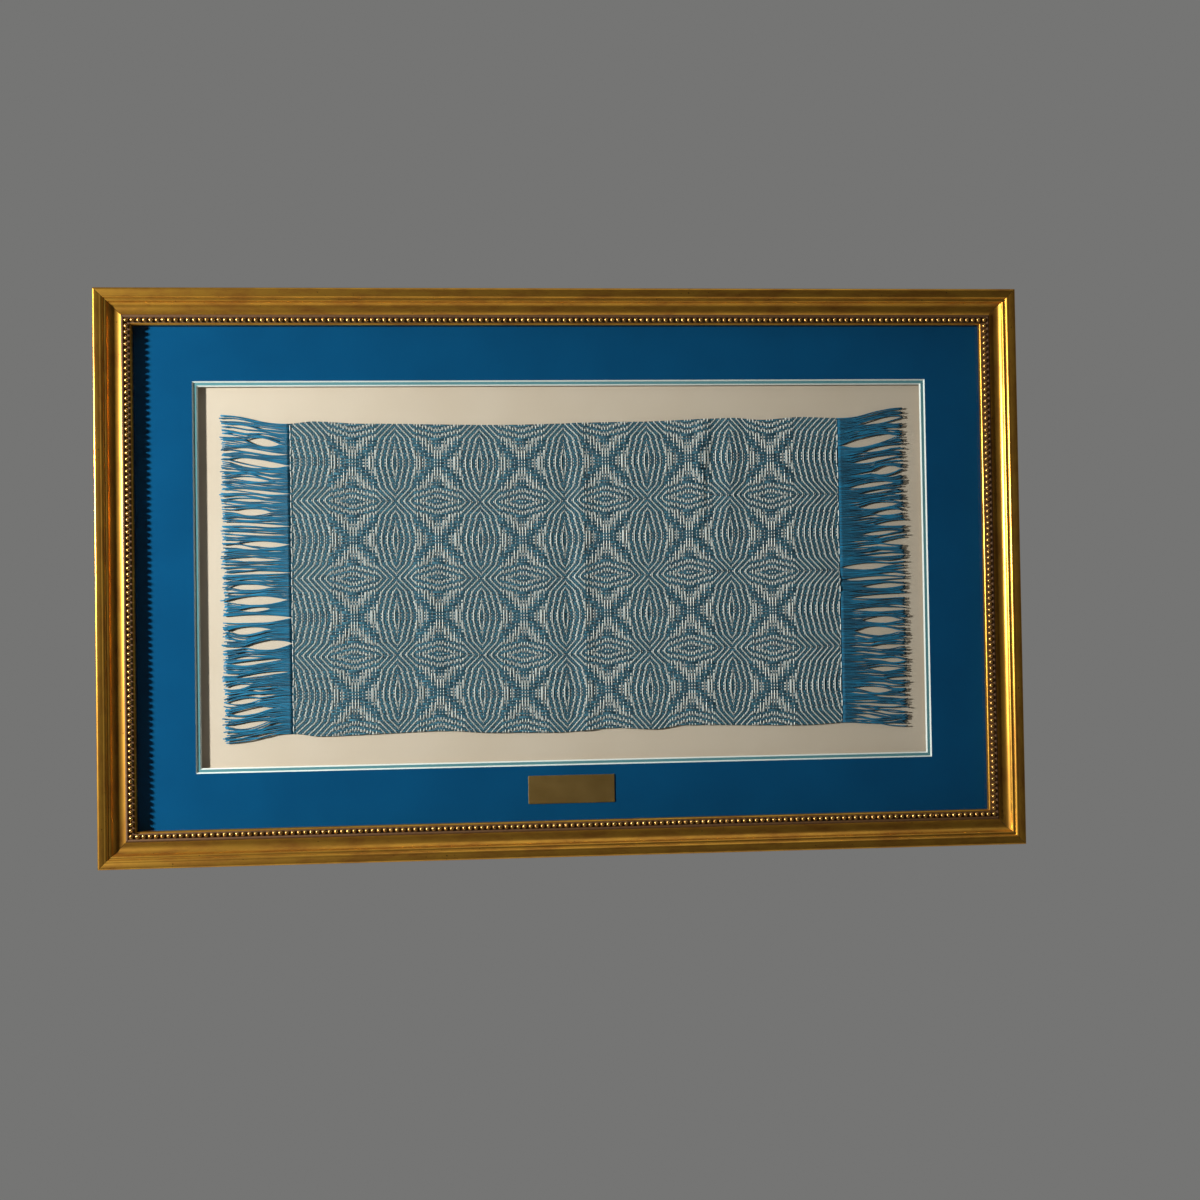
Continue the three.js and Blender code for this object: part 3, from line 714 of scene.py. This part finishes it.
def raw_wood():
    # Bare softwood on the back and in the rabbet: pale, with grain drawn out along the rail.
    look, tree = start("bare softwood")
    run = add(tree, "ShaderNodeUVMap", uv_map="along_rail").outputs["UV"]
    drawn_out = add(tree, "ShaderNodeMapping", {
        "Vector": run, "Scale": (1 / GRAIN_LENGTH, 1 / GRAIN_WIDTH, 1)})
    grain = add(tree, "ShaderNodeTexNoise", {
        "Vector": drawn_out.outputs["Vector"], "Scale": 1.0, "Detail": 5.0})
    tone = add(tree, "ShaderNodeMix", {
        0: grain.outputs["Fac"], 6: linear(RAW_WOOD), 7: linear(RAW_WOOD_SHADE)}, data_type="RGBA")
    shader = add(tree, "ShaderNodeBsdfPrincipled", {"Base Color": tone.outputs[2], "Roughness": 0.75})
    add(tree, "ShaderNodeOutputMaterial", {"Surface": shader.outputs["BSDF"]})
    return look


def rail_section():
    """Points round the moulding as out, depth and the finish of the stretch that leads on from each."""
    section = []
    begin = MOULDING[-1][1:3]
    for _, out, depth, bend, finish in MOULDING:
        steps = CURVE_STEPS if bend else 1
        for step in range(steps):
            t = step / steps
            point = [((1 - t) ** 2 * a + 2 * t * (1 - t) * b + t * t * c) * MM
                     for a, b, c in zip(begin, bend or begin, (out, depth))]
            section.append((*point, finish))
        begin = (out, depth)
    return section


def rail_piece(side, turn, half_sight, away):
    """One mitred rail, swept as the top rail and turned about the frame's middle."""
    section = rail_section()
    count = len(section)
    points, lengths = [], [0.0]
    for end in (-1, 1):
        for out, depth, _ in section:
            points.append((end * (half_sight + out - MITRE_GAP), -depth, away + out))
    for here, after in zip(section, section[1:] + section[:1]):
        lengths.append(lengths[-1] + math.dist(here[:2], after[:2]))
    faces = [(i, (i + 1) % count, count + (i + 1) % count, count + i) for i in range(count)]
    mesh = bpy.data.meshes.new(f"rail_{side}_moulding")
    mesh.from_pydata(points, [], faces + [tuple(range(count))[::-1], tuple(range(count, 2 * count))])
    mesh.transform(Matrix.Translation((0, 0, middle_z)) @ Matrix.Rotation(turn, 4, "Y"))
    uv = mesh.uv_layers.new(name="along_rail")
    for i, polygon in enumerate(mesh.polygons):
        polygon.material_index = section[i][2] if i < count else WOOD
        polygon.use_smooth = True
        for loop in polygon.loop_indices:
            vertex = mesh.loops[loop].vertex_index
            corner = vertex % count
            closes_round = i == count - 1 and corner == 0
            around = lengths[count if closes_round else corner]
            reach = half_sight + section[corner][0]
            uv.data[loop].uv = (reach if vertex >= count else -reach, around)
    mesh.set_sharp_from_angle(angle=SHARP_EDGE)
    for look in rail_looks:
        mesh.materials.append(look)
    piece = bpy.data.objects.new(mesh.name, mesh)
    bpy.context.scene.collection.objects.link(piece)
    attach(piece, "root")
    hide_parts(f"rail_{side}")


rail_looks = [gilding(), bole_with_painted_channel_shade(), raw_wood()]
SIDES = (
    ("top", 0, sight_x, sight_z),
    ("right", math.pi / 2, sight_z, sight_x),
    ("bottom", math.pi, sight_x, sight_z),
    ("left", -math.pi / 2, sight_z, sight_x),
)
for side, turn, half_sight, away in SIDES:
    rail_piece(side, turn, half_sight, away)

# Beads: a row of round pearls cast in composition, gilded with the rail and set in its channel.
# They are bedded a little way into the channel's floor, and one marks each corner.
BEAD_RADIUS = 2.15 * MM
BEAD_PITCH = 5.3 * MM
BEAD_DEPTH = 23.2 * MM
BEAD_LEAST = 0.93
BEAD_MOST = 1.04
BEAD_SEED = 5
LEAF_PATCH = 6 * MM
BEAD_GOLD = "cfa45c"
BEAD_WORN = "8f6630"
BEAD_SEGMENTS = 10
BEAD_RINGS = 6


def bead_gilding():
    # Gilded composition: bright on the crowns, browner from bead to bead where the leaf has thinned.
    look, tree = start("gilded composition")
    place = add(tree, "ShaderNodeTexCoord").outputs["Object"]
    thin = add(tree, "ShaderNodeTexNoise", {"Vector": place, "Scale": 1 / LEAF_PATCH, "Detail": 4.0})
    tone = add(tree, "ShaderNodeMix", {
        0: thin.outputs["Fac"], 6: linear(BEAD_GOLD), 7: linear(BEAD_WORN)}, data_type="RGBA")
    shader = add(tree, "ShaderNodeBsdfPrincipled", {
        "Base Color": tone.outputs[2], "Metallic": 0.9, "Roughness": 0.27})
    add(tree, "ShaderNodeOutputMaterial", {"Surface": shader.outputs["BSDF"]})
    return look


def bead_row_tree():
    """A row of beads: a line of points with a slightly uneven sphere on each."""
    tree = bpy.data.node_groups.new("bead row", "GeometryNodeTree")
    sockets = (("Count", "Int"), ("First Bead", "Vector"), ("Step", "Vector"), ("Radius", "Float"),
               ("Seed", "Int"), ("Gilding", "Material"))
    for name, kind in sockets:
        tree.interface.new_socket(name=name, in_out="INPUT", socket_type=f"NodeSocket{kind}")
    tree.interface.new_socket(name="Geometry", in_out="OUTPUT", socket_type="NodeSocketGeometry")
    given = add(tree, "NodeGroupInput").outputs
    line = add(tree, "GeometryNodeMeshLine", {
        "Count": given["Count"], "Start Location": given["First Bead"],
        "Offset": given["Step"]}, mode="OFFSET")
    bead = add(tree, "GeometryNodeMeshUVSphere", {
        "Segments": BEAD_SEGMENTS, "Rings": BEAD_RINGS, "Radius": given["Radius"]})
    size = add(tree, "FunctionNodeRandomValue", {
        0: [BEAD_LEAST] * 3, 1: [BEAD_MOST] * 3, "Seed": given["Seed"]}, data_type="FLOAT_VECTOR")
    row = add(tree, "GeometryNodeInstanceOnPoints", {
        "Points": line.outputs["Mesh"], "Instance": bead.outputs["Mesh"], "Scale": size.outputs[0]})
    real = add(tree, "GeometryNodeRealizeInstances", {"Geometry": row.outputs["Instances"]})
    rounded = add(tree, "GeometryNodeSetShadeSmooth", {"Geometry": real.outputs["Geometry"]})
    gilded = add(tree, "GeometryNodeSetMaterial", {
        "Geometry": rounded.outputs["Geometry"], "Material": given["Gilding"]})
    add(tree, "NodeGroupOutput", {"Geometry": gilded.outputs["Geometry"]})
    return tree


bead_tree = bead_row_tree()
bead_look = bead_gilding()
middle_of_channel = (CHANNEL_FROM + CHANNEL_TO) / 2 * MM
for side, turn, half_sight, away in SIDES:
    half_row = half_sight + middle_of_channel
    gaps_between = round(2 * half_row / BEAD_PITCH)
    pitch = 2 * half_row / gaps_between
    corner_beads = side in ("top", "bottom")
    turned = Matrix.Translation((0, 0, middle_z)) @ Matrix.Rotation(turn, 4, "Y")
    first = Vector((-half_row + (0 if corner_beads else pitch), -BEAD_DEPTH, away + middle_of_channel))
    values = {
        "Count": gaps_between + (1 if corner_beads else -1), "First Bead": turned @ first,
        "Step": turned.to_3x3() @ Vector((pitch, 0, 0)), "Radius": BEAD_RADIUS,
        "Seed": BEAD_SEED, "Gilding": bead_look}
    carrier = bpy.data.objects.new("bead_carrier", bpy.data.meshes.new("bead_carrier"))
    bpy.context.scene.collection.objects.link(carrier)
    maker = carrier.modifiers.new("bead row", "NODES")
    maker.node_group = bead_tree
    for socket in bead_tree.interface.items_tree:
        if socket.in_out == "INPUT":
            maker[socket.identifier] = values[socket.name]
    mesh = bpy.data.meshes.new_from_object(carrier.evaluated_get(bpy.context.evaluated_depsgraph_get()))
    bpy.data.objects.remove(carrier)
    mesh.name = f"beads_{side}_row"
    piece = bpy.data.objects.new(mesh.name, mesh)
    bpy.context.scene.collection.objects.link(piece)
    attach(piece, "root")
    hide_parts(f"beads_{side}")

# Studio: a pale floor well below the picture, which hangs at eye height, side light from the left, pale fill.
# The camera stands a little left of and below the frame's middle, and is turned and rolled slightly.
FLOOR_DROP = 1.45
FLOOR_HALF = 1.45
FLOOR_PALE = "d9d6d0"
ROOM_WHITE = "f2f2f0"
LENS_PIXELS = 1300
PHOTO_PIXELS = 1200
SENSOR = 36.0
CAMERA_PLACE = (-53 * MM, -1178 * MM, -43.7 * MM)
CAMERA_AIM = (27.2 * MM, -27 * MM, -25.6 * MM)
CAMERA_ROLL = math.radians(-0.91)
KEY_PLACE = (-1.5, -0.8, 0.22)
KEY_POWER = 60
KEY_SIZE = 0.1
ROOM_PALE = 0.2
ROOM_DIM = 0.02
TOP_PLACE = (0.2, -0.9, 1.7)
TOP_POWER = 5
TOP_SIZE = 1.6

floor_corners = ((-1, -1), (1, -1), (1, 1), (-1, 1))
floor = mesh_piece(
    "floor", [(a * FLOOR_HALF, b * FLOOR_HALF, middle_z - FLOOR_DROP) for a, b in floor_corners],
    [(0, 1, 2, 3)], [board_paper("pale floor", FLOOR_PALE, FLOOR_PALE)], smooth_faces=False)


def from_middle(place):
    """A place measured from the frame's middle, in the shared frame."""
    return Vector((place[0], place[1], place[2] + middle_z))


world = bpy.data.worlds.new("pale room")
world.use_nodes = True
sky = world.node_tree.nodes["Background"]
sky.inputs["Color"].default_value = linear(ROOM_WHITE)
heading = add(world.node_tree, "ShaderNodeSeparateXYZ", {
    "Vector": add(world.node_tree, "ShaderNodeTexCoord").outputs["Generated"]})
room = add(world.node_tree, "ShaderNodeMapRange", {
    "Value": heading.outputs["Y"], "From Min": -0.9, "From Max": 0.2,
    "To Min": ROOM_DIM, "To Max": ROOM_PALE})
world.node_tree.links.new(room.outputs["Result"], sky.inputs["Strength"])
bpy.context.scene.world = world

for name, place, power, size in (
        ("side window", KEY_PLACE, KEY_POWER, KEY_SIZE), ("soft top light", TOP_PLACE, TOP_POWER, TOP_SIZE)):
    light = bpy.data.lights.new(name, "AREA")
    light.energy = power
    light.size = size
    lamp = bpy.data.objects.new(name, light)
    lamp.location = from_middle(place)
    lamp.rotation_euler = (from_middle((0, 0, 0)) - lamp.location).to_track_quat("-Z", "Y").to_euler()
    bpy.context.scene.collection.objects.link(lamp)

lens = bpy.data.cameras.new("camera")
lens.sensor_width = SENSOR
lens.lens = SENSOR * LENS_PIXELS / PHOTO_PIXELS
camera = bpy.data.objects.new("camera", lens)
camera.location = from_middle(CAMERA_PLACE)
look_along = (from_middle(CAMERA_AIM) - camera.location).to_track_quat("-Z", "Y")
camera.rotation_euler = (look_along.to_matrix() @ Matrix.Rotation(CAMERA_ROLL, 3, "Z")).to_euler()
bpy.context.scene.collection.objects.link(camera)
bpy.context.scene.camera = camera
bpy.context.scene.view_settings.view_transform = "Standard"
